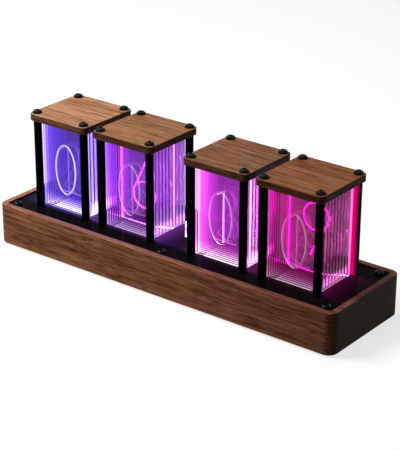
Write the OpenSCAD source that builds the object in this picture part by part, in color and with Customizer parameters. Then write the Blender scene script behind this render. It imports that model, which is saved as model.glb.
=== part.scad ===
// Desk clock with four digit tubes. Each tube is a stack of ten clear plates between a wooden cap and a
// black panel. A numeral is engraved in each plate and a lamp below the plate lights its edges.
// X runs along the clock, -Y is the front, +Z is up. The origin is on the table under the middle.

/* [Base] */
// Length of the wooden base
base_l = 250; // [246:1:270]
// Depth of the wooden base
base_w = 70; // [69:1:76]
// Height of the wooden base without its feet
base_h = 25.5; // [25:0.5:30]
// Corner radius of the base, seen from above
base_r = 6; // [5:0.5:8]
// Width of the wooden rim round the panel
rim = 4.05; // [3.8:0.05:4.3]
// Depth of the panel's face below the rim
panel_drop = 0.9; // [0.5:0.1:1.5]

/* [Digit tubes] */
// Place of an inner tube, as a share of the base's length
inner_share = 0.136; // [0.132:0.001:0.144]
// Distance between the two tubes of a pair, as a share of the base's length
pair_share = 0.204; // [0.196:0.001:0.206]
// Thickness of a clear plate
plate_t = 2; // [1.8:0.1:2.1]
// Distance from a cap's sides to the side edges of the plates
side_in = 4.7; // [4.4:0.1:5.4]
// Distance from a cap's front and back to the stack of plates
stack_in = 7.525; // [7.4:0.025:7.8]
// Height of a plate between the panel and the cap
plate_h = 56.6; // [54:0.2:62]

/* [Caps and posts] */
// Width and depth of a wooden cap
cap_w = 45.4; // [44:0.2:47]
// Thickness of a wooden cap
cap_t = 4.4; // [4:0.1:6]
// Corner radius of a cap
cap_r = 3.5; // [2:0.5:5]
// Distance from a cap's edges to the middle of its posts
post_edge = 4; // [3.8:0.1:4.2]
// Diameter of a post
post_d = 5; // [4.6:0.1:5.2]

/* [Numerals] */
// Height of a numeral between its stroke's middles
digit_h = 32; // [26:1:34]
// Width of a numeral between its stroke's middles
digit_w = 16; // [12:1:18]
// Height of a numeral's middle above the panel
digit_z = 26.8; // [24:0.2:28]
// Width of the engraved stroke
stroke = 1; // [0.7:0.1:1.2]
// Depth of the engraving
engrave = 0.4; // [0.2:0.1:0.8]

/* [Controls] */
// Stroke of a push button
button_travel = 0.5; // [0.2:0.1:0.6]
// Distance between the push buttons
button_pitch = 9; // [8:0.5:10]

/* [Hidden] */
$fn = 48;
TUBES = [1, 2, 3, 4];
DIGITS = [0, 1, 2, 3, 4, 5, 6, 7, 8, 9];
SIDES = [-1, 1];

hair = 0.01; // overlap that keeps a cut clean
over = 1; // how far a cut runs past the face that it opens

// Places of the tubes and their posts, and sizes of their plates
inner_x = base_l * inner_share;
pair_pitch = base_l * pair_share;
plate_w = cap_w - 2 * side_in;
plate_pitch = (cap_w - 2 * stack_in - plate_t) / 9;
post_off = cap_w / 2 - post_edge;

// Heights above the table
foot_z = 1;
base_top = foot_z + base_h;
panel_t = 4;
panel_top = base_top - panel_drop;
panel_z = panel_top - panel_t;
board_t = 1.6;
board_z = panel_z - board_t;
cap_z = panel_top + plate_h;
cap_top = cap_z + cap_t;
floor_t = 4;
cavity_z = foot_z + floor_t;

// Plan sizes of the base's inside
panel_gap = 0.2;
well_l = base_l - 2 * rim;
well_w = base_w - 2 * rim;
wall = 8;
cavity_l = base_l - 2 * wall;
cavity_w = base_w - 2 * wall;
screw_in_x = 9.7; // from the base's edges to a screw
screw_in_y = 7.8;
screw_x = base_l / 2 - screw_in_x;
screw_y = base_w / 2 - screw_in_y;
corner_boss = 6.5; // how far a corner boss reaches into the cavity
side_boss_l = 10;
side_boss_w = 4.6;
base_round = 0.5; // rounding of the edges
cap_round = 0.4;

// Panel, board and lamps
tab_in = 6; // how far a tab stays inside its plate's side edges
tab_w = plate_w - 2 * tab_in;
tab_h = 1.9;
slot_gap = 0.1;
slot_depth = 2;
lamp = 5;
lamp_h = 1.6;
lamp_x = 6; // neighbouring lamps stand on opposite sides of the tube's middle
lamp_gap = 0.3;
pocket_side = 2.5; // light room beside the lamps
pocket_w = 2 * (lamp_x + pocket_side) + lamp;
pocket_d = 9 * plate_pitch + lamp + 2 * lamp_gap;
board_gap = 0.5;
board_end = 1.5; // gap between the board and the corner bosses
board_l = cavity_l - 2 * (corner_boss + board_end);
board_w = cavity_w - 2 * board_gap;
chip_l = 12;
chip_w = 18;
chip_h = 2;

// Caps
tongue_w = tab_w;
tongue_h = 0.9;
groove_depth = 1;

// M3 fasteners
screw_d = 3;
screw_hole = 3.2;
thread_hole = 3.1;
head_d = 5.8;
head_h = 2.2;
head_edge = 0.5; // height of the straight edge below the dome
hex_key = 2;
key_depth = 1.2;
cap_screw_l = 10;
panel_screw_l = 12;
nut_w = 5.5;
nut_h = 2.4;
stud_out = 0.5; // how far a stud stands out of its nut

// Colon between the inner tubes
colon_w = 6;
colon_tab_w = 4.8;
colon_h = 9.6;
colon_waist = 0.7;
colon_waist_z = 4; // height of the waist above the panel

// Back wall
bay_wall = 3.8;
bay_y = base_w / 2 - bay_wall; // inner face of the wall behind the socket and the buttons
bay_z = 11.6;
socket_x = inner_x + pair_pitch / 2;
socket_bay_w = 24;
socket_w = 8.94;
socket_t = 3.26;
socket_mouth = bay_y - slot_gap;
socket_room = 5.1; // from the middle of the nearest nuts to the socket's back
socket_d = socket_mouth - post_off - socket_room;
socket_wall = 0.3;
contact_w = 6.7;
contact_l = socket_d - 1.7;
contact_t = 0.7;
socket_z = board_z - socket_t / 2;
plug_w = 13;
plug_h = 7;
button_x = -socket_x;
button_bay_side = 6; // room beside the outer buttons
button_bay_w = 2 * (button_pitch + button_bay_side);
button_d = 4;
button_hole = 4.1;
button_drop = 3.3;
button_sunk = 0.3;
button_z = board_z - button_drop;
flange_d = 5.6;
flange_t = 0.8;
stem_d = 2.6;
stem_hole = 2.7;
stem_l = 2.1;
switch_w = 6;
switch_h = 5.6;
switch_d = 4;
flange_gap = 0.1;
flange_y = bay_y - flange_gap - flange_t;
switch_gap = 0.2;
switch_y = flange_y - button_travel - switch_gap; // front face of a switch
bore_room = 0.5;
bore_depth = stem_l - switch_gap + bore_room;
tongue_gap = 0.3;

// Feet and coin cell
foot_d = 12;
foot_recess = 1;
foot_gap = 0.2;
foot_in_x = 17; // from the base's edges to the middle of a foot
foot_in_y = 11;
foot_x = base_l / 2 - foot_in_x;
foot_y = base_w / 2 - foot_in_y;
cell_d = 20;
cell_t = 3.2;
holder_w = 24;
holder_t = 4.2;

function tube_x(t) = t == 1 ? -inner_x - pair_pitch
                   : t == 2 ? -inner_x
                   : t == 3 ? inner_x
                   : inner_x + pair_pitch;
function plate_y(d) = (d - 4.5) * plate_pitch;

// ---- Numerals: centre lines as lists of points, X to the right and Y up ----

hw = digit_w / 2;
hh = digit_h / 2;
ARC_STEP = 12;

// Points along an ellipse from angle a to angle b
function arc(cx, cy, rx, ry, a, b) =
    let (n = ceil(abs(b - a) / ARC_STEP))
    [for (i = [0:n]) let (u = a + (b - a) * i / n) [cx + rx * cos(u), cy + ry * sin(u)]];

function unit(v) = v / norm(v);
function left_of(v) = [-v[1], v[0]];

// Offset of a path's point i by w to its left, mitred between its two neighbours
function shifted(p, i, w) =
    let (before = i > 0 ? unit(p[i] - p[i - 1]) : unit(p[1] - p[0]),
         after = i < len(p) - 1 ? unit(p[i + 1] - p[i]) : before,
         n = unit(left_of(before + after)))
    p[i] + n * w / (n * left_of(before));

// Outline of a stroke of constant width along a path
function band(p, w) = concat(
    [for (i = [0:len(p) - 1]) shifted(p, i, w / 2)],
    [for (i = [len(p) - 1:-1:0]) shifted(p, i, -w / 2)]
);

bowl_r = hw;
bowl_y = -hh + bowl_r * 1.05;
stem_top = [hw * 0.33, hh];
SIX_STEM = concat([stem_top], arc(0, bowl_y, bowl_r, bowl_r * 1.05, 155, 180));

// Open strokes of each numeral
OPEN_STROKES = [
    [],
    [[[-hw * 0.5, hh - 2.8], [hw * 0.06, hh - stroke / 2], [hw * 0.06, -hh]]],
    [concat(arc(0, hh - hw * 0.85, hw * 0.9, hw * 0.85, 165, -25), [[-hw * 0.9, -hh], [hw, -hh]])],
    [arc(0, hh * 0.5, hw * 0.85, hh * 0.5, 150, -90), arc(0, -hh * 0.5, hw, hh * 0.5, 90, -150)],
    [[[hw * 0.35, -hh], [hw * 0.35, hh]], [[hw * 0.35, hh - 1], [-hw, -hh * 0.35], [hw, -hh * 0.35]]],
    [concat([[hw * 0.8, hh], [-hw * 0.7, hh], [-hw * 0.85, hh * 0.15]],
        arc(0, -hh * 0.42, hw, hh * 0.58, 115, -150))],
    [SIX_STEM],
    [[[-hw, hh], [hw, hh], [-hw * 0.3, -hh]]],
    [],
    [[for (q = SIX_STEM) -q]]
];

// Closed loops of each numeral as [centre x, centre y, radius x, radius y]
LOOPS = [
    [[0, 0, hw, hh]], [], [], [], [], [],
    [[0, bowl_y, bowl_r, bowl_r * 1.05]],
    [],
    [[0, hh * 0.52, hw * 0.82, hh * 0.48], [0, -hh * 0.48, hw, hh * 0.52]],
    [[0, -bowl_y, bowl_r, bowl_r * 1.05]]
];

// Ellipse of a loop, grown by w
function loop_points(l, w) =
    [for (u = [0:ARC_STEP:360 - ARC_STEP]) [l[0] + (l[2] + w) * cos(u), l[1] + (l[3] + w) * sin(u)]];

module ring_2d(l) {
    difference() {
        polygon(loop_points(l, stroke / 2));
        polygon(loop_points(l, -stroke / 2));
    }
}

module numeral_2d(d) {
    for (s = OPEN_STROKES[d]) polygon(band(s, stroke));
    for (l = LOOPS[d]) ring_2d(l);
}

// ---- Shared shapes ----

module rounded_2d(l, w, r) {
    square([l - 2 * r, w], center = true);
    square([l, w - 2 * r], center = true);
    for (sx = SIDES, sy = SIDES) translate([sx * (l / 2 - r), sy * (w / 2 - r)]) circle(r);
}

module rounded_slab(l, w, h, r) {
    linear_extrude(h) rounded_2d(l, w, r);
}

// Slab whose upper and lower edges are rounded over by e
module soft_slab(l, w, h, r, e) {
    skin = 0.1;
    hull() for (a = [0:30:90], top = [0, 1]) {
        inset = e * (1 - cos(a));
        drop = e * (1 - sin(a));
        translate([0, 0, top == 1 ? h - drop - skin : drop])
            linear_extrude(skin) rounded_2d(l - 2 * inset, w - 2 * inset, r - inset, $fn = 32);
    }
}

// Box centred in X and Y that stands on z = 0
module block(l, w, h) {
    translate([-l / 2, -w / 2, 0]) cube([l, w, h]);
}

// Runs its children at the four posts of one tube
module at_posts(t) {
    for (sx = SIDES, sy = SIDES) translate([tube_x(t) + sx * post_off, sy * post_off, 0]) children();
}

// Runs its children at every post of the clock
module at_all_posts() {
    for (t = TUBES) at_posts(t) children();
}

// Runs its children at the six screws that hold the panel
module at_panel_screws() {
    for (x = [-screw_x, 0, screw_x], sy = SIDES) translate([x, sy * screw_y, 0]) children();
}

// Button-head screw with its head standing on z = 0 and its shank below
module screw(l) {
    dome = [for (u = [0:15:75]) [head_d / 2 * cos(u), head_edge + (head_h - head_edge) * sin(u)]];
    difference() {
        rotate_extrude() polygon(concat([[0, 0], [head_d / 2, 0]], dome, [[0, dome[5][1]]]));
        translate([0, 0, head_h - key_depth]) cylinder(h = key_depth + over, d = hex_key / cos(30), $fn = 6);
    }
    translate([0, 0, -l]) cylinder(h = l + hair, d = screw_d);
}

// ---- Sub-parts ----

module walnut_base() {
    color("sienna") difference() {
        translate([0, 0, foot_z]) soft_slab(base_l, base_w, base_h, base_r, base_round);
        translate([0, 0, panel_z]) rounded_slab(well_l, well_w, base_h, base_r - rim);
        difference() {
            translate([0, 0, cavity_z]) block(cavity_l, cavity_w, panel_z - cavity_z + hair);
            for (sx = SIDES, sy = SIDES)
                translate([sx * cavity_l / 2, sy * cavity_w / 2, 0])
                    block(2 * corner_boss, 2 * side_boss_w, base_h);
            for (sy = SIDES)
                translate([0, sy * cavity_w / 2, 0]) block(side_boss_l, 2 * side_boss_w, base_h);
        }
        at_panel_screws() translate([0, 0, panel_top - panel_screw_l - over])
            cylinder(h = panel_screw_l, d = thread_hole);
        back_wall_cuts();
        for (sx = SIDES, sy = SIDES)
            translate([sx * foot_x, sy * foot_y, 0])
                cylinder(h = foot_z + foot_recess, d = foot_d + 2 * foot_gap);
    }
}

// Bays in the back wall with the plug's window and the holes for the buttons
module back_wall_cuts() {
    bay_start = cavity_w / 2 - over;
    for (bay = [[socket_x, socket_bay_w], [button_x, button_bay_w]])
        translate([bay[0] - bay[1] / 2, bay_start, bay_z])
            cube([bay[1], bay_y - bay_start, panel_z - bay_z + hair]);
    cut_l = bay_wall + 2 * over;
    translate([socket_x - plug_w / 2, bay_y - over, socket_z - plug_h / 2]) cube([plug_w, cut_l, plug_h]);
    for (i = [-1:1]) at_button(i) translate([0, 0, bay_y - over]) cylinder(h = cut_l, d = button_hole);
}

module top_panel() {
    color("#101012") difference() {
        translate([0, 0, panel_z])
            rounded_slab(well_l - 2 * panel_gap, well_w - 2 * panel_gap, panel_t, base_r - rim);
        for (t = TUBES) translate([tube_x(t), 0, 0]) {
            translate([0, 0, panel_z - hair]) block(pocket_w, pocket_d, panel_t - slot_depth + hair);
            for (d = DIGITS) translate([0, plate_y(d), panel_z - hair])
                block(tab_w + 2 * slot_gap, plate_t + 2 * slot_gap, panel_t + over);
        }
        translate([0, 0, panel_z - hair]) {
            block(colon_tab_w + 2 * slot_gap, plate_t + 2 * slot_gap, panel_t + over);
            block(lamp + 2 * lamp_gap, lamp + 2 * lamp_gap, panel_t - slot_depth);
        }
        at_all_posts() translate([0, 0, panel_z - over]) cylinder(h = panel_t + 2 * over, d = screw_hole);
        at_panel_screws() translate([0, 0, panel_z - over]) cylinder(h = panel_t + 2 * over, d = screw_hole);
    }
}

module digit_plate(t, d) {
    color([0.85, 0.8, 0.95, 0.35]) translate([tube_x(t), plate_y(d), 0]) difference() {
        union() {
            translate([0, 0, panel_top]) block(plate_w, plate_t, plate_h);
            translate([0, 0, panel_top - tab_h]) block(tab_w, plate_t, tab_h + hair);
            translate([0, 0, cap_z - hair]) block(tongue_w, plate_t, tongue_h + hair);
        }
        translate([0, engrave - plate_t / 2, panel_top + digit_z])
            rotate([90, 0, 0]) linear_extrude(engrave + over) numeral_2d(d);
    }
}

module tube_cap(t) {
    color("peru") difference() {
        translate([tube_x(t), 0, cap_z]) soft_slab(cap_w, cap_w, cap_t, cap_r, cap_round);
        for (d = DIGITS) translate([tube_x(t), plate_y(d), cap_z - over])
            block(tongue_w + 2 * slot_gap, plate_t + 2 * slot_gap, groove_depth + over);
        at_posts(t) translate([0, 0, cap_z - over]) cylinder(h = cap_t + 2 * over, d = screw_hole);
    }
}

module posts() {
    stud_l = panel_t + board_t + nut_h + stud_out;
    color("#0c0c0e") at_all_posts() {
        difference() {
            translate([0, 0, panel_top]) cylinder(h = plate_h, d = post_d);
            translate([0, 0, cap_top - cap_screw_l - over]) cylinder(h = cap_screw_l, d = thread_hole);
        }
        translate([0, 0, panel_top - stud_l]) cylinder(h = stud_l + hair, d = screw_d);
    }
}

module cap_screws() {
    color("#17171a") at_all_posts() translate([0, 0, cap_top]) screw(cap_screw_l);
}

module panel_screws() {
    color("#17171a") at_panel_screws() translate([0, 0, panel_top]) screw(panel_screw_l);
}

module post_nuts() {
    color("silver") at_all_posts() translate([0, 0, board_z - nut_h]) difference() {
        cylinder(h = nut_h, d = nut_w / cos(30), $fn = 6);
        translate([0, 0, -over]) cylinder(h = nut_h + 2 * over, d = thread_hole);
    }
}

// Two lit squares one above the other, joined by a waist
module colon_plate() {
    color([0.95, 0.7, 0.9, 0.5]) difference() {
        union() {
            translate([0, 0, panel_top]) block(colon_w, plate_t, colon_h);
            translate([0, 0, panel_top - tab_h]) block(colon_tab_w, plate_t, tab_h + hair);
        }
        for (sx = SIDES) translate([sx * colon_w / 2, 0, panel_top + colon_waist_z])
            block(2 * colon_waist, plate_t + over, colon_waist);
    }
}

module main_board() {
    notch_gap = 0.4;
    color("darkgreen") difference() {
        union() {
            translate([0, 0, board_z]) block(board_l, board_w, board_t);
            board_tongue(socket_x, socket_bay_w);
            board_tongue(button_x, button_bay_w);
            translate([0, 0, board_z - holder_t]) block(holder_w, holder_w, holder_t + hair);
            for (x = [-inner_x, inner_x, inner_x + pair_pitch])
                translate([x, 0, board_z - chip_h]) block(chip_l, chip_w, chip_h + hair);
        }
        for (sy = SIDES) translate([0, sy * cavity_w / 2, board_z - over])
            block(side_boss_l + 2 * notch_gap, 2 * (side_boss_w + notch_gap), board_t + 2 * over);
        translate([0, 0, board_z - holder_t - over]) cylinder(h = cell_t + over, d = cell_d + 2 * slot_gap);
        at_all_posts() translate([0, 0, board_z - over]) cylinder(h = board_t + 2 * over, d = screw_hole);
    }
}

// Part of the board that reaches into a bay of the back wall
module board_tongue(x, bay_w) {
    w = bay_w - 2 * tongue_gap;
    start = board_w / 2 - over;
    translate([x - w / 2, start, board_z]) cube([w, bay_y - tongue_gap - start, board_t]);
}

module leds() {
    color("ivory") {
        for (t = TUBES, d = DIGITS)
            translate([tube_x(t) + (d % 2 == 0 ? -lamp_x : lamp_x), plate_y(d), panel_z])
                block(lamp, lamp, lamp_h);
        translate([0, 0, panel_z]) block(lamp, lamp, lamp_h);
    }
}

module coin_cell() {
    color("gainsboro") translate([0, 0, board_z - holder_t]) cylinder(h = cell_t, d = cell_d);
}

module usb_socket() {
    back = socket_mouth - socket_d;
    inner_w = socket_w - 2 * socket_wall;
    color("silver") {
        difference() {
            translate([socket_x - socket_w / 2, back, socket_z - socket_t / 2])
                cube([socket_w, socket_d, socket_t]);
            translate([socket_x - inner_w / 2, back + over, socket_z - socket_t / 2 + socket_wall])
                cube([inner_w, socket_d, socket_t - 2 * socket_wall]);
        }
        translate([socket_x - contact_w / 2, back + over - hair, socket_z - contact_t / 2])
            cube([contact_w, contact_l, contact_t]);
    }
}

// Turns a shape drawn along +Z so that it runs along +Y from the front of the switches
module at_button(i) {
    translate([button_x + i * button_pitch, 0, button_z]) rotate([-90, 0, 0]) children();
}

module switch_bodies() {
    color("dimgray") for (i = [-1:1]) difference() {
        translate([button_x + i * button_pitch - switch_w / 2, switch_y - switch_d, board_z - switch_h])
            cube([switch_w, switch_d, switch_h]);
        at_button(i) translate([0, 0, switch_y - bore_depth])
            cylinder(h = bore_depth + over, d = stem_hole);
    }
}

module push_button(i) {
    face_y = base_w / 2 - button_sunk;
    color("#1c1c1f") at_button(i) {
        translate([0, 0, flange_y]) cylinder(h = flange_t, d = flange_d);
        translate([0, 0, flange_y]) cylinder(h = face_y - flange_y, d = button_d);
        translate([0, 0, flange_y - stem_l]) cylinder(h = stem_l + hair, d = stem_d);
    }
}

module rubber_feet() {
    color("#202020") for (sx = SIDES, sy = SIDES)
        translate([sx * foot_x, sy * foot_y, 0]) cylinder(h = foot_z + foot_recess, d = foot_d);
}

walnut_base();
top_panel();
for (t = TUBES, d = DIGITS)
    digit_plate(t, d);
for (t = TUBES)
    tube_cap(t);
posts();
cap_screws();
post_nuts();
panel_screws();
colon_plate();
main_board();
leds();
coin_cell();
usb_socket();
switch_bodies();
push_button(-1);  // mode_button
push_button(0);  // up_button
push_button(1);  // down_button
rubber_feet();
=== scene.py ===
"""Looks of the edge-lit digit clock: materials, camera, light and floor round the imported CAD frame.

All lengths are in metres, in the row frame: X runs along the clock, -Y is the front, +Z is up.
Colours are linear.
"""

import math

import bpy
from mathutils import Matrix, Vector

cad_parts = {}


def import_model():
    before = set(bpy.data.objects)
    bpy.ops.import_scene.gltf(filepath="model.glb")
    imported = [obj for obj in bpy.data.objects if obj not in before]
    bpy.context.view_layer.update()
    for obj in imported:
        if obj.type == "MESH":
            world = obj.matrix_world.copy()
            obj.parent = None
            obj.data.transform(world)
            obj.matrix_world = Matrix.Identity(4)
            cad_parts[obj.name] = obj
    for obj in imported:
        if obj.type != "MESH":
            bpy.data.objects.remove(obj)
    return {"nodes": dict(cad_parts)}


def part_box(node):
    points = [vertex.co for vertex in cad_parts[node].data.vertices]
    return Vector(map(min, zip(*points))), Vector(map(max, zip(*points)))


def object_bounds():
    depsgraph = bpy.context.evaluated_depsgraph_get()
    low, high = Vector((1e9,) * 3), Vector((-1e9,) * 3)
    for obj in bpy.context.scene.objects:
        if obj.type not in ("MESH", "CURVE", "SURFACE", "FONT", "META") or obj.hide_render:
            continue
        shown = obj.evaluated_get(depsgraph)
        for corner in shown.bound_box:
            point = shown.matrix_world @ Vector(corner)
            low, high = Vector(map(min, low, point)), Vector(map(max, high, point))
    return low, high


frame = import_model()
cad_low, cad_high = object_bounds()
NODES = frame["nodes"]

# ---- Places taken from the frame ----

PANEL_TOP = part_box("top_panel")[1].z
CAP_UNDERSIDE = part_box("tube_1_cap")[0].z
TUBE_X = {t: sum(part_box(f"tube_{t}_cap")[i].x for i in (0, 1)) / 2 for t in (1, 2, 3, 4)}
PLATE_HALF = (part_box("tube_1_plate_0")[1].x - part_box("tube_1_plate_0")[0].x) / 2
STACK_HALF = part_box("tube_1_plate_9")[1].y

# ---- The photograph's camera ----

CAMERA_PLACE = Vector((0.5314, -0.6754, 0.4112))
CAMERA_AZIMUTH = math.radians(37.804)
CAMERA_ELEVATION = math.radians(23.715)
CAMERA_ROLL = math.radians(0.222)
LENS = 126.42  # mm
SENSOR = 36  # mm

# ---- The tubes ----

# middle: place along X                   lit: the numeral that glows
# tint: what one plate lets through       haze: glow of a broad face
# edge: glow of an unlit side edge, and hue of the light that a tube spills
# stripe, right: glow of a lit plate's left and right side edges
# line: glow of the lit numeral           core: strength of it at the groove's bottom
# shine: a lit side edge's light on the posts
# wash: strength of a lit face's glow towards its side edges
# side: strength of the unlit right side edges
# foot: strength of the glow at the foot  clear: how clear a face is there, up to 1
# spill: strength of the light on the panel
TUBES = {
    1: {"name": "blue", "middle": TUBE_X[1], "lit": 0,
        "tint": (0.54, 0.42, 0.86), "haze": (0.013, 0.002, 0.020), "edge": (0.34, 0.17, 0.90),
        "stripe": (0.30, 0.75, 0.98), "right": (0.60, 0.42, 1.20), "line": (0.62, 0.95, 1.00),
        "shine": (0.02, 0.01, 0.75),
        "core": 0.55, "wash": 0.12, "side": 1.9, "foot": 2.5, "clear": 0.85, "spill": 0.26},
    2: {"name": "purple", "middle": TUBE_X[2], "lit": 6,
        "tint": (0.75, 0.50, 0.87), "haze": (0.009, 0.0, 0.016), "edge": (0.42, 0.09, 0.80),
        "stripe": (0.90, 0.16, 0.80), "right": (1.35, 0.36, 1.30), "line": (1.00, 0.62, 1.00),
        "shine": (0.30, 0.00, 0.60),
        "core": 0.60, "wash": 0.10, "side": 1.0, "foot": 0.55, "clear": 0.62, "spill": 0.30},
    3: {"name": "magenta", "middle": TUBE_X[3], "lit": 1,
        "tint": (0.81, 0.43, 0.84), "haze": (0.020, 0.0, 0.023), "edge": (0.75, 0.09, 0.68),
        "stripe": (0.97, 0.42, 0.97), "right": (1.45, 0.70, 1.45), "line": (1.00, 0.60, 1.00),
        "shine": (0.55, 0.02, 0.70),
        "core": 0.24, "wash": 0.55, "side": 1.1, "foot": 1.6, "clear": 0.78, "spill": 0.12},
    4: {"name": "pink", "middle": TUBE_X[4], "lit": 9,
        "tint": (0.85, 0.36, 0.74), "haze": (0.007, 0.0, 0.006), "edge": (0.24, 0.012, 0.13),
        "stripe": (0.97, 0.07, 0.50), "right": (1.50, 0.20, 0.95), "line": (1.00, 0.12, 0.55),
        "shine": (0.75, 0.00, 0.16),
        "core": 0.95, "wash": 0.35, "side": 0.5, "foot": 0.55, "clear": 0.50, "spill": 0.22},
}
BLACK = (0, 0, 0)

# ---- Node trees ----

NOISE_LOW, NOISE_HIGH = 0.3, 0.7  # most of a noise's values lie between these


class Shader:
    """A material with a Principled BSDF, and short calls that add nodes in object coordinates."""

    def __init__(self, name, **settings):
        self.material = bpy.data.materials.new(name)
        self.material.use_nodes = True
        self.tree = self.material.node_tree
        self.bsdf = self.tree.nodes["Principled BSDF"]
        texture = self.tree.nodes.new("ShaderNodeTexCoord")
        self.coords, self.normal = texture.outputs["Object"], texture.outputs["Normal"]
        for socket, value in settings.items():
            self.set(socket.replace("_", " "), value)

    def set(self, socket, value):
        target = self.bsdf.inputs[socket]
        if isinstance(value, bpy.types.NodeSocket):
            self.tree.links.new(value, target)
        elif isinstance(value, tuple) and len(value) == 3:
            target.default_value = (*value, 1)
        else:
            target.default_value = value

    def glow(self, colour, strength=1.0):
        self.set("Emission Color", colour)
        self.set("Emission Strength", strength)

    def node(self, kind, inputs=(), **settings):
        made = self.tree.nodes.new("ShaderNode" + kind)
        for name, value in settings.items():
            setattr(made, name, value)
        for socket, value in dict(inputs).items():
            if isinstance(value, bpy.types.NodeSocket):
                self.tree.links.new(value, made.inputs[socket])
            else:
                made.inputs[socket].default_value = value
        return made

    def placed(self, scale, shift=(0, 0, 0), vector=None):
        return self.node("Mapping", {0: vector or self.coords, 1: shift, 3: scale}).outputs[0]

    def noise(self, scale, detail=3.0, shift=(0, 0, 0), distortion=0.0, vector=None):
        made = self.node("TexNoise", {"Vector": self.placed(scale, shift, vector), "Scale": 1.0,
                                      "Detail": detail, "Distortion": distortion})
        return made.outputs["Fac"]

    def ramp(self, fac, stops):
        """stops are pairs of a place and a colour or level."""
        made = self.node("ValToRGB", {"Fac": fac})
        ramp = made.color_ramp
        ramp.elements[0].position, ramp.elements[1].position = stops[0][0], stops[-1][0]
        for place, _ in stops[1:-1]:
            ramp.elements.new(place)
        for element, (_, colour) in zip(ramp.elements, stops):
            element.color = (*colour, 1) if isinstance(colour, tuple) else (colour, colour, colour, 1)
        return made.outputs["Color"]

    def between(self, noise, low, high):
        """Turns a noise into colours or levels from low to high."""
        return self.ramp(noise, [(NOISE_LOW, low), (NOISE_HIGH, high)])

    def math(self, operation, a, b=0.0):
        return self.node("Math", {0: a, 1: b}, operation=operation).outputs[0]

    def mix(self, fac, a, b, blend="MIX"):
        made = self.node("MixRGB", {"Fac": fac, "Color1": rgba(a), "Color2": rgba(b)}, blend_type=blend)
        return made.outputs[0]

    def span(self, value, start, end, low=0.0, high=1.0):
        """Runs from low at start to high at end, and stays there beyond them."""
        return self.node("MapRange", {0: value, 1: start, 2: end, 3: low, 4: high}).outputs[0]

    def axis(self, name, vector=None):
        return self.node("SeparateXYZ", {0: vector or self.coords}).outputs[name]

    def bump(self, height, distance, strength=1.0):
        made = self.node("Bump", {"Height": height, "Distance": distance, "Strength": strength})
        self.set("Normal", made.outputs[0])


def rgba(value):
    return (*value, 1) if isinstance(value, tuple) and len(value) == 3 else value


def times(colour, factor):
    return tuple(c * factor for c in colour)


def outside(s, off, half):
    """How far off lies beyond half on either side, and below 0 within it."""
    return s.math("SUBTRACT", s.math("ABSOLUTE", off), half)


def distance(s, a, b):
    return s.math("SQRT", s.math("ADD", s.math("MULTIPLY", a, a), s.math("MULTIPLY", b, b)))


def summed(s, spots):
    total = spots[0]
    for spot in spots[1:]:
        total = s.mix(1.0, total, spot, "ADD")
    return total


def dress(node, material):
    """Puts one material on a CAD node."""
    slots = NODES[node].data.materials
    slots.clear()
    slots.append(material)


# ---- Light that the tubes spill ----

PANEL_REACH = 0.024  # how far the glow on the panel reaches from the plates
PANEL_NARROWING = 4.5  # how much shorter that is to the front and back
WOOD_REACH = 0.045
SPILL_FALLOFF = 2.4
LEVEL_FROM = 0.4  # a face whose normal rises less than this gets none of it
POST_FULL, POST_REACH = 0.0022, 0.0048  # how far a lit side edge's light on a post is full, and reaches
POST_FALLOFF = 2.0


def tube_spill(s, reach, share, narrowing=1.0):
    """Coloured light round the tubes' feet, as far as reach, and less far across Y by narrowing."""
    x, y = s.axis("X"), s.axis("Y")
    spots = []
    for tube in TUBES.values():
        off_x = s.math("MAXIMUM", outside(s, s.math("SUBTRACT", x, tube["middle"]), PLATE_HALF), 0.0)
        off_y = s.math("MULTIPLY", s.math("MAXIMUM", outside(s, y, STACK_HALF), 0.0), narrowing)
        near = s.math("POWER", s.span(distance(s, off_x, off_y), 0.0, reach, 1.0, 0.0), SPILL_FALLOFF)
        spots.append(s.mix(near, BLACK, times(tube["edge"], tube["spill"] * share)))
    return summed(s, spots)


def level_spill(s, share):
    """The tubes' light on level wood above the panel."""
    above = s.math("GREATER_THAN", s.axis("Z"), PANEL_TOP)
    seen = s.math("MULTIPLY", s.span(s.axis("Z", s.normal), LEVEL_FROM, 1.0), above)
    return s.mix(seen, BLACK, tube_spill(s, WOOD_REACH, share))


def stripe_glow(s):
    """Light of the lit plates' side edges on the posts beside them."""
    x, y = s.axis("X"), s.axis("Y")
    spots = []
    for t, tube in TUBES.items():
        low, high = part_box(f"tube_{t}_plate_{tube['lit']}")
        off_x = outside(s, s.math("SUBTRACT", x, tube["middle"]), PLATE_HALF)
        off_y = s.math("SUBTRACT", y, (low.y + high.y) / 2)
        far = distance(s, off_x, off_y)
        near = s.math("POWER", s.span(far, POST_FULL, POST_REACH, 1.0, 0.0), POST_FALLOFF)
        spots.append(s.mix(near, BLACK, tube["shine"]))
    return summed(s, spots)


# ---- Wood ----

WALNUT = ((0.090, 0.029, 0.011), (0.320, 0.130, 0.058), (0.580, 0.275, 0.135))  # dark, middle, light grain
WALNUT_PLACES = (0.32, 0.49, 0.68)  # where these colours lie in the grain
BASE_TONE = (1.02, 0.93, 0.92)
# Painted light and shade on each cap's colour: lighter and bluer on the left caps, darker and redder on the
# right.
CAP_PAINTED_LIGHT = {1: (1.32, 1.50, 1.62), 2: (0.88, 0.87, 0.85), 3: (0.64, 0.60, 0.62), 4: (0.65, 0.50, 0.38)}
SWAY_SCALE, SWAY_Y, SWAY_Z = (7, 20, 20), 0.016, 0.6  # slow bends of the grain; SWAY_Z is a share of SWAY_Y
FIGURE_SCALE, FIGURE_SHARE = (5, 110, 110), 0.28  # broad bands
STREAK_SCALE, STREAK_SHARE = (28, 980, 980), 0.72  # fine lines
PORE_SCALE, PORE_SHADES, PORE_DEPTH = (110, 1200, 1200), [(0.36, 0.20), (0.45, 1.0)], 0.6
WOOD_ROUGH, WOOD_SMOOTH = 0.60, 0.44  # between and on the pale streaks
WOOD_RELIEF = 0.00012


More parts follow.
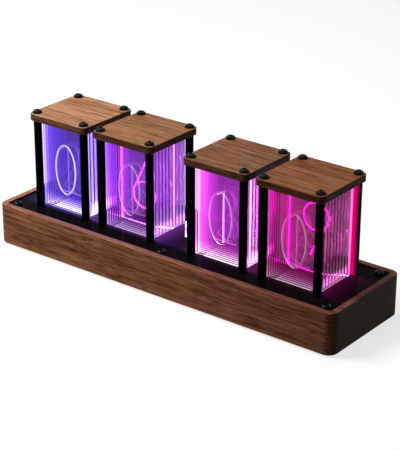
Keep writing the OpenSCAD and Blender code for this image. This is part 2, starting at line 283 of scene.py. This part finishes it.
def walnut(name, tone_and_light, shift, side=1.0, end=1.0, spill=0.0, fade=1.0):
    """Oiled walnut with its grain along X.

    tone multiplies the colour's channels, and on the caps also paints light and shade. shift moves the piece
    through the grain. side and end are painted shade: how light its upright faces across Y and X are. fade is
    painted shade too: how light its right end is. spill is its share of the tubes' light.
    """
    s = Shader(name, Specular_IOR_Level=0.05)
    bent = bent_grain(s, shift)
    figure = s.noise(FIGURE_SCALE, 3, shift, 0.5, bent)
    streaks = s.noise(STREAK_SCALE, 4, shift, 0.0, bent)
    grain = s.math("ADD", s.math("MULTIPLY", figure, FIGURE_SHARE), s.math("MULTIPLY", streaks, STREAK_SHARE))
    shades = [tuple(c * t for c, t in zip(colour, tone_and_light)) for colour in WALNUT]
    colour = s.ramp(grain, list(zip(WALNUT_PLACES, shades)))
    pores = s.ramp(s.noise(PORE_SCALE, 2, shift, 0.0, bent), PORE_SHADES)
    colour = s.mix(PORE_DEPTH, colour, pores, "MULTIPLY")
    # Painted shade: the colour darkens towards the right end, away from the key light.
    right_end_shade = s.ramp(s.span(s.axis("X"), cad_low.x, cad_high.x), [(0.0, 1.0), (1.0, fade)])
    colour = s.mix(1.0, colour, right_end_shade, "MULTIPLY")
    # Painted shade: upright faces darker than level ones.
    s.set("Base Color", s.mix(1.0, colour, upright_shade(s, side, end), "MULTIPLY"))
    s.set("Roughness", s.between(streaks, WOOD_ROUGH, WOOD_SMOOTH))
    s.bump(s.math("ADD", pores, s.math("MULTIPLY", streaks, 0.5)), WOOD_RELIEF, 0.8)
    if spill:
        s.glow(level_spill(s, spill))
    return s.material


def bent_grain(s, shift):
    """Object coordinates that sway slowly across the grain."""
    sway = s.math("MULTIPLY", s.noise(SWAY_SCALE, 2, shift), SWAY_Y)
    offset = s.node("CombineXYZ", {1: sway, 2: s.math("MULTIPLY", sway, SWAY_Z)}).outputs[0]
    return s.node("VectorMath", {0: s.coords, 1: offset}, operation="ADD").outputs[0]


def upright_shade(s, side, end):
    """Painted shade: 1 on level faces, side on faces across Y, end on the end grain across X."""
    across_x = s.math("POWER", s.math("ABSOLUTE", s.axis("X", s.normal)), 2.0)
    across_y = s.math("POWER", s.math("ABSOLUTE", s.axis("Y", s.normal)), 2.0)
    shade = s.math("SUBTRACT", 1.0, s.math("MULTIPLY", across_x, 1 - end))
    shade = s.math("SUBTRACT", shade, s.math("MULTIPLY", across_y, 1 - side))
    return s.node("CombineColor", {0: shade, 1: shade, 2: shade}).outputs[0]


def wood_parts():
    dress("walnut_base", walnut("base_walnut", BASE_TONE, (0.3, 0.2, 0.1), end=0.10, spill=0.6, fade=0.5))
    # Each cap's factor paints light and shade onto its walnut.
    for t, tone_and_light in CAP_PAINTED_LIGHT.items():
        own_place = (t * 3.1, t * 1.7, 0.4)
        dress(f"tube_{t}_cap", walnut(f"cap_walnut_{t}", tone_and_light, own_place, side=0.36, end=0.10))


# ---- Panel and hardware ----

METAL_ROUGH_RANGE = 0.12
PLASTIC_ROUGH_RANGE = 0.1


def black_panel():
    """Glossy black with a weak reflection, and the tubes' glow on it."""
    s = Shader("black_panel", Base_Color=(0.004, 0.004, 0.004), Specular_IOR_Level=0.004)
    s.set("Roughness", s.between(s.noise((60, 60, 60), 4), 0.10, 0.17))
    s.glow(tube_spill(s, PANEL_REACH, 1.0, PANEL_NARROWING))
    return s.material


def black_metal(name, level, rough, specular, grain, glow=False):
    """Blackened metal with a fine grain. glow adds the light of the lit side edges."""
    s = Shader(name, Specular_IOR_Level=specular)
    grains = s.noise(grain, 3)
    s.set("Base Color", s.between(grains, level * 0.7, level * 1.3))
    s.set("Roughness", s.between(grains, rough, rough + METAL_ROUGH_RANGE))
    s.bump(grains, 0.00002, 0.6)
    if glow:
        s.glow(stripe_glow(s))
    return s.material


def plain_metal(name, colour, rough):
    """Bare metal with fine upright streaks."""
    s = Shader(name, Metallic=1.0)
    grains = s.noise((500, 500, 2500), 3)
    s.set("Base Color", s.between(grains, times(colour, 0.85), colour))
    s.set("Roughness", s.between(grains, rough, rough + METAL_ROUGH_RANGE))
    return s.material


def moulded(name, colour, rough, grain=900):
    """Moulded plastic or rubber with a fine eroded skin."""
    s = Shader(name, Specular_IOR_Level=0.3)
    skin = s.noise((grain,) * 3, 3)
    s.set("Base Color", s.between(skin, times(colour, 0.85), times(colour, 1.1)))
    s.set("Roughness", s.between(skin, rough, rough + PLASTIC_ROUGH_RANGE))
    s.bump(skin, 0.00003, 0.5)
    return s.material


def circuit_board():
    """Green solder mask with paler tracks."""
    mask, track = (0.012, 0.085, 0.035), (0.03, 0.16, 0.07)
    s = Shader("circuit_board", Roughness=0.38)
    tracks = s.node("TexBrick", {"Vector": s.placed((90, 90, 90)), "Scale": 1.0, "Mortar Size": 0.05,
                                 "Brick Width": 1.4, "Row Height": 0.35}).outputs["Fac"]
    s.set("Base Color", s.mix(tracks, mask, track))
    return s.material


def lamp():
    s = Shader("lamp", Base_Color=(0.85, 0.83, 0.75))
    s.glow((0.8, 0.4, 0.9), 0.6)
    s.set("Roughness", s.between(s.noise((900,) * 3), 0.3, 0.45))
    return s.material


def hardware():
    dress("top_panel", black_panel())
    dress("posts", black_metal("black_post", 0.002, 0.38, 0.006, (300, 300, 2600), glow=True))
    screws = black_metal("black_screw", 0.002, 0.07, 0.08, (1500, 1500, 1500))
    dress("cap_screws", screws)
    dress("panel_screws", screws)
    dress("post_nuts", plain_metal("steel_nut", (0.60, 0.59, 0.57), 0.28))
    dress("coin_cell", plain_metal("cell_steel", (0.66, 0.66, 0.64), 0.22))
    dress("usb_socket", plain_metal("socket_steel", (0.62, 0.62, 0.63), 0.24))
    dress("main_board", circuit_board())
    dress("leds", lamp())
    dress("switch_bodies", moulded("switch_plastic", (0.02, 0.02, 0.022), 0.45))
    for button in ("mode_button", "up_button", "down_button"):
        dress(button, moulded("button_plastic", (0.016, 0.016, 0.018), 0.4))
    dress("rubber_feet", moulded("rubber", (0.022, 0.022, 0.023), 0.75, 1600))


# ---- Digit plates ----

ACRYLIC_IOR = 1.49
ACRYLIC_SHEEN = (0.3, 0.2, 0.45)  # tint of a plate's reflections
PLATE_PASS = 0.88  # share of the light that passes one plate's two faces
MAX_GLOW = 24.0
MAX_GREEN = 0.9  # of the red, so that deep glows don't turn green
SMOKE_WHITE = (0.66, 0.61, 0.60)
FOOT_SHARE = 0.2  # share of a plate's height that glows pale, next to the lamps
FOOT_GLOW = 0.018
FOOT_PASS = 0.97  # what a wholly clear foot lets through
LEFT_HAZE, RIGHT_HAZE = 1.4, 0.5  # strength of a face's glow at its left and right side edges
EDGE_BAND = 0.0018  # width of the bright band on a lit face, beside its side edges
EDGE_ROUGH, FACE_ROUGH, ENGRAVED_ROUGH = 0.2, 0.006, 0.35


def height(s):
    """0 at the panel, 1 at the cap."""
    return s.span(s.axis("Z"), PANEL_TOP, CAP_UNDERSIDE)


def clear_shader(name, tint, strength, glow, roughness=FACE_ROUGH):
    """Clear acrylic that glows from inside. tint and glow are colours, or stops from the panel to the cap."""
    s = Shader(name, Transmission_Weight=1.0, IOR=ACRYLIC_IOR, Roughness=roughness,
               Specular_Tint=ACRYLIC_SHEEN)
    s.set("Base Color", s.ramp(height(s), tint) if isinstance(tint, list) else tint)
    s.glow(s.ramp(height(s), glow) if isinstance(glow, list) else glow, strength)
    return s


def through_plates(tube, colour):
    """Glow that a lit plate needs to show as `colour` through the plates in front of it, up to MAX_GLOW."""
    plates = tube["lit"]
    red, green, blue = (c / (PLATE_PASS ** plates * t ** plates) for c, t in zip(colour, tube["tint"]))
    return min(red, MAX_GLOW), min(green, MAX_GLOW, red * MAX_GREEN), min(blue, MAX_GLOW)


def side_colours(s, off, left, right):
    """left where off is 0 or less, right elsewhere."""
    return s.mix(s.math("GREATER_THAN", off, 0.0), left, right)


def face_material(name, tube, lit):
    """Broad face, clearer and paler at the foot. A lit plate's also glows beside its side edges."""
    tint, haze, middle = tube["tint"], tube["haze"], tube["middle"]
    clearer = tuple(c + (FOOT_PASS - c) * tube["clear"] for c in tint)
    foot = times(SMOKE_WHITE, FOOT_GLOW * tube["foot"])
    tints = [(0.0, clearer), (FOOT_SHARE * 0.8, tint), (1.0, tint)]
    glow = [(0.0, foot), (FOOT_SHARE * 0.6, times(foot, 0.45)),
            (FOOT_SHARE * 1.3, haze), (1.0, times(haze, 0.8))]
    s = clear_shader(name, tints, 1.0, glow)
    left, right = middle - PLATE_HALF, middle + PLATE_HALF
    s.set("Emission Strength", s.span(s.axis("X"), left, right, LEFT_HAZE, RIGHT_HAZE))
    if lit:
        s.set("Emission Color", lit_face_glow(s, tube, glow))
    return s.material


def lit_face_glow(s, tube, glow):
    """glow in the middle, a wash towards the side edges and a bright band along them."""
    off = s.math("SUBTRACT", s.axis("X"), tube["middle"])
    left_wash = times(through_plates(tube, tube["edge"]), tube["wash"])
    wash = side_colours(s, off, left_wash, times(tube["edge"], 0.4 * tube["wash"]))
    left_band = times(through_plates(tube, tube["stripe"]), 0.6)
    band = side_colours(s, off, left_band, times(tube["right"], 0.15))
    off = s.math("ABSOLUTE", off)
    near_edge = s.math("POWER", s.span(off, 0.0, PLATE_HALF), 2.5)
    at_edge = s.math("POWER", s.span(off, PLATE_HALF - EDGE_BAND, PLATE_HALF), 1.5)
    return s.mix(at_edge, s.mix(near_edge, s.ramp(height(s), glow), wash), band)


def side_material(name, tube, lit):
    """Sawn side edge. A lit one is an even glow; an unlit one is clear, with a deeper tint than the faces."""
    if lit:
        s = Shader(name, Base_Color=(0.01, 0.01, 0.01), Roughness=EDGE_ROUGH, Specular_IOR_Level=0.1)
        left, right = times(through_plates(tube, tube["stripe"]), 1.3), tube["right"]
    else:
        s = clear_shader(name, tuple(c ** 4 for c in tube["tint"]), 1.0, BLACK, EDGE_ROUGH)
        left, right = unlit_side_glow(s, tube)
    off = s.math("SUBTRACT", s.axis("X"), tube["middle"])
    s.glow(side_colours(s, off, left, right))
    return s.material


def unlit_side_glow(s, tube):
    """Glow of an unlit plate's left and right side edges, paler at the foot."""
    edge = tube["edge"]
    upper = tuple(0.7 * e + 0.10 * tube["side"] for e in edge)
    lower = tuple(0.7 * e + 0.16 * w for e, w in zip(edge, SMOKE_WHITE))
    pale_foot = [(0.0, times(lower, 1.5)), (FOOT_SHARE, lower)]
    left = s.ramp(height(s), pale_foot + [(1.0, upper)])
    right = s.ramp(height(s), pale_foot + [(FOOT_SHARE * 1.6, times(edge, 0.8)), (1.0, times(edge, 0.7))])
    return left, s.mix(1.0, right, (tube["side"],) * 3, "MULTIPLY")


def rim_material(name, tube, lit):
    """Upper and lower edges and tabs; the lower edge is next to the lamps."""
    if lit:
        glow, strength = through_plates(tube, tube["stripe"]), 1.0
    else:
        glow = [(0.0, (1.0, 0.94, 1.0)), (0.4, tube["edge"]), (1.0, times(tube["edge"], 0.5))]
        strength = tube["foot"]
    return clear_shader(name, tube["tint"], strength, glow, 0.25).material


def wall_material(name, tube, lit):
    """Side walls of a numeral's groove. Unlit, only those on one side of the stroke catch the light."""
    if lit:
        glow = through_plates(tube, tube["line"])
        return clear_shader(name, tube["tint"], 1.6, glow, ENGRAVED_ROUGH).material
    pale = tuple(0.6 + 0.4 * c for c in tube["stripe"])
    s = clear_shader(name, tube["tint"], 1.0, pale, ENGRAVED_ROUGH)
    from_right = s.math("MULTIPLY", s.axis("X", s.normal), 0.8)
    from_above = s.math("MULTIPLY", s.axis("Z", s.normal), 0.6)
    s.set("Emission Strength", s.span(s.math("ADD", from_right, from_above), -0.1, 0.5, 0.06, 0.6))
    return s.material


def groove_material(name, tube, lit):
    """Bottom of a numeral's groove: fainter than its walls."""
    if lit:
        glow = through_plates(tube, tube["line"])
        return clear_shader(name, tube["tint"], tube["core"], glow, ENGRAVED_ROUGH).material
    return clear_shader(name, tube["tint"], 0.012, tube["stripe"], 0.06).material


def back_material(name, tube, _lit):
    """Rear face of the last plate, darkened as painted shade so that the stack looks dark inside."""
    return clear_shader(name, times(tube["tint"], 0.12), 1.0, tube["haze"], 0.02).material


# A plate's slots, in this order. A material's name ends with the first four letters of its maker's.
MAKERS = (face_material, side_material, rim_material, wall_material, groove_material, back_material)
FACE, SIDE, RIM, WALL, GROOVE, BACK = range(6)
FACING = 0.9  # a normal's least share along an axis for a face to count as square to it
NEAR = 0.00005


def sort_faces(plate):
    """Gives every polygon of a plate its material."""
    low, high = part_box(plate.name)
    for p in plate.data.polygons:
        if abs(p.normal.x) > FACING and not low.x + NEAR < p.center.x < high.x - NEAR:
            p.material_index = SIDE
        elif not PANEL_TOP + NEAR < p.center.z < CAP_UNDERSIDE - NEAR:
            p.material_index = RIM
        elif not abs(p.normal.y) > FACING:
            p.material_index = WALL
        elif plate.name.endswith("plate_9") and p.center.y > high.y - NEAR:
            p.material_index = BACK
        else:
            p.material_index = GROOVE if low.y + NEAR < p.center.y < high.y - NEAR else FACE


def digit_plates():
    for t, tube in TUBES.items():
        sets = {lit: [make(f"{'lit' if lit else 'plate'}_{tube['name']}_{make.__name__[:4]}", tube, lit)
                      for make in MAKERS] for lit in (False, True)}
        for d in range(10):
            plate = NODES[f"tube_{t}_plate_{d}"]
            plate.data.materials.clear()
            for material in sets[d == tube["lit"]]:
                plate.data.materials.append(material)
            sort_faces(plate)


def colon():
    """Frosted piece that is bright at both dots and dim between them."""
    dots = [(0.0, (1.0, 0.75, 0.95)), (0.25, (0.8, 0.25, 0.6)), (0.45, (0.2, 0.03, 0.1)),
            (0.62, (0.7, 0.2, 0.55)), (1.0, (1.0, 0.7, 0.95))]
    s = Shader("lit_colon", Base_Color=(0.9, 0.75, 0.88), Transmission_Weight=1.0, IOR=ACRYLIC_IOR,
               Roughness=EDGE_ROUGH)
    low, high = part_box("colon_plate")
    s.glow(s.ramp(s.span(s.axis("Z"), PANEL_TOP, high.z), dots), 1.4)
    dress("colon_plate", s.material)


# ---- Stage: floor, world, lamps, camera ----

FLOOR_HALF = 6
FLOOR_GREY = (0.3, 0.3, 0.3, 1)
FLOOR_LIFT = 0.74  # glow that brings the floor up to the background's white where it is seen
WHITE = (1, 1, 1, 1)
FILL = 0.04  # the world's strength as a light
PLATE_FACES = 20  # faces that a ray crosses in one stack


def background_ray(tree):
    """1 for rays that show the background: from the camera, in gloss and through glass."""
    path = tree.nodes.new("ShaderNodeLightPath")
    total = path.outputs["Is Camera Ray"]
    for name in ("Is Glossy Ray", "Is Transmission Ray"):
        both = tree.nodes.new("ShaderNodeMath")
        both.operation = "MAXIMUM"
        tree.links.new(total, both.inputs[0])
        tree.links.new(path.outputs[name], both.inputs[1])
        total = both.outputs[0]
    return total


def floor_paper():
    """White where it is seen, and dark enough as a surface to keep the object's shadow."""
    material = bpy.data.materials.new("floor_paper")
    material.use_nodes = True
    tree = material.node_tree
    shader = tree.nodes["Principled BSDF"]
    shader.inputs["Base Color"].default_value = FLOOR_GREY
    shader.inputs["Roughness"].default_value = 0.9
    shader.inputs["Specular IOR Level"].default_value = 0.0
    shader.inputs["Emission Color"].default_value = WHITE
    lift = tree.nodes.new("ShaderNodeMath")
    lift.operation = "MULTIPLY"
    lift.inputs[1].default_value = FLOOR_LIFT
    tree.links.new(background_ray(tree), lift.inputs[0])
    tree.links.new(lift.outputs[0], shader.inputs["Emission Strength"])
    return material


def floor():
    half = FLOOR_HALF
    corners = [(-half, -half, 0), (half, -half, 0), (half, half, 0), (-half, half, 0)]
    mesh = bpy.data.meshes.new("floor")
    mesh.from_pydata(corners, [], [(0, 1, 2, 3)])
    ground = bpy.data.objects.new("floor", mesh)
    bpy.context.scene.collection.objects.link(ground)
    mesh.materials.append(floor_paper())


def world():
    """White where it is seen, a weak fill where it lights."""
    made = bpy.data.worlds.new("studio")
    bpy.context.scene.world = made
    made.use_nodes = True
    tree = made.node_tree
    back = tree.nodes["Background"]
    back.inputs["Color"].default_value = WHITE
    strength = tree.nodes.new("ShaderNodeMapRange")
    strength.inputs["To Min"].default_value = FILL
    strength.inputs["To Max"].default_value = 1.0
    tree.links.new(background_ray(tree), strength.inputs["Value"])
    tree.links.new(strength.outputs[0], back.inputs["Strength"])


def softbox(name, place, aim, size, watts):
    light = bpy.data.lights.new(name, "AREA")
    light.shape, light.size, light.energy = "DISK", size, watts
    lamp_object = bpy.data.objects.new(name, light)
    lamp_object.location = place
    lamp_object.rotation_mode = "QUATERNION"
    lamp_object.rotation_quaternion = (Vector(aim) - Vector(place)).to_track_quat("-Z", "Y")
    bpy.context.scene.collection.objects.link(lamp_object)


def camera():
    data = bpy.data.cameras.new("camera")
    data.lens, data.sensor_width = LENS, SENSOR
    data.clip_start, data.clip_end = 0.01, 50
    made = bpy.data.objects.new("camera", data)
    level = math.cos(CAMERA_ELEVATION)
    forward = Vector((-math.sin(CAMERA_AZIMUTH) * level, math.cos(CAMERA_AZIMUTH) * level,
                      -math.sin(CAMERA_ELEVATION)))
    right = forward.cross(Vector((0, 0, 1))).normalized()
    up = right.cross(forward)
    turn, tilt = math.cos(CAMERA_ROLL), math.sin(CAMERA_ROLL)
    axes = Matrix((turn * right + tilt * up, turn * up - tilt * right, -forward)).transposed()
    made.matrix_world = Matrix.Translation(CAMERA_PLACE) @ axes.to_4x4()
    bpy.context.scene.collection.objects.link(made)
    bpy.context.scene.camera = made


def render_limits():
    """Enough bounces for a ray to cross a whole stack, and to come back."""
    cycles = bpy.context.scene.cycles
    cycles.min_light_bounces = PLATE_FACES + 2
    cycles.max_bounces = 2 * PLATE_FACES
    cycles.transmission_bounces = 2 * PLATE_FACES
    cycles.glossy_bounces = 6
    cycles.transparent_max_bounces = PLATE_FACES + 4
    bpy.context.scene.view_settings.view_transform = "Standard"


camera()
floor()
world()
softbox("key", place=(-0.58, -0.40, 0.95), aim=(-0.04, 0, 0.05), size=0.42, watts=13)
softbox("top", place=(-0.30, 0.25, 1.2), aim=(0, 0, 0.05), size=0.8, watts=4)
wood_parts()
hardware()
digit_plates()
colon()
render_limits()
